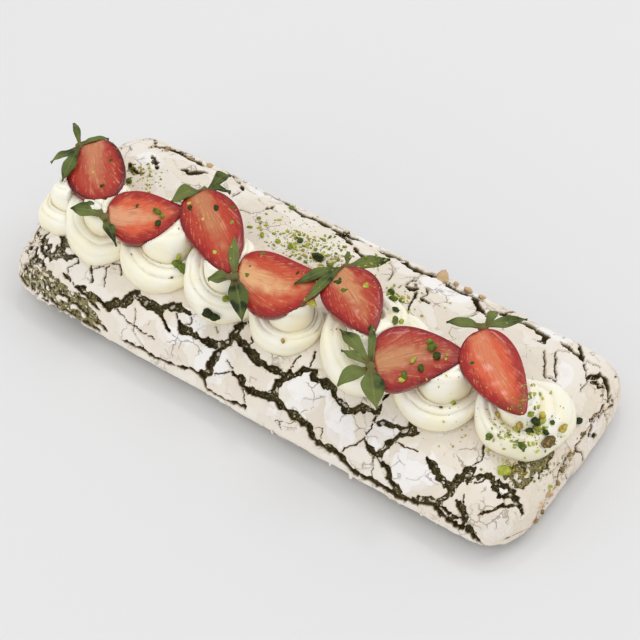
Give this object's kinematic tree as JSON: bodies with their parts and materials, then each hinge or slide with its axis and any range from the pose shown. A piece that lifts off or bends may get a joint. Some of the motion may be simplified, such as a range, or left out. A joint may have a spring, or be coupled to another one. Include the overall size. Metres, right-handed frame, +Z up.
{
  "type": "pistachio roll cake",
  "caption": "Rolled meringue cake with a cracked white crust over green pistachio crumb, topped with a row of piped cream swirls and halved strawberries.",
  "frame": {"origin": "middle of the footprint of the whole cake, on the surface it rests on", "axes": "+X along the roll, towards the end with the large open swirl; -Y towards the front long side, that the strawberries' cut faces tip to; +Z up"},
  "size_m": [0.289, 0.1182, 0.0719],
  "materials": {
    "crust": "dry matte meringue crust, cracked over moist green crumb",
    "cream": "smooth whipped cream with a soft sheen",
    "strawberry": "wet cut strawberry",
    "leaf": "soft green leaf"
  },
  "bodies": {
    "root": {"roll": "crust", "cream_swirl_1": "cream", "cream_swirl_2": "cream", "cream_swirl_3": "cream", "cream_swirl_4": "cream", "cream_swirl_5": "cream", "cream_swirl_6": "cream", "cream_swirl_7": "cream", "cream_swirl_8": "cream", "strawberry_1": "strawberry", "strawberry_2": "strawberry", "strawberry_3": "strawberry", "strawberry_4": "strawberry", "strawberry_5": "strawberry", "strawberry_6": "strawberry", "strawberry_7": "strawberry", "strawberry_leaves_1": "leaf", "strawberry_leaves_2": "leaf", "strawberry_leaves_3": "leaf", "strawberry_leaves_4": "leaf", "strawberry_leaves_5": "leaf", "strawberry_leaves_6": "leaf", "strawberry_leaves_7": "leaf"}
  },
  "joints": []
}
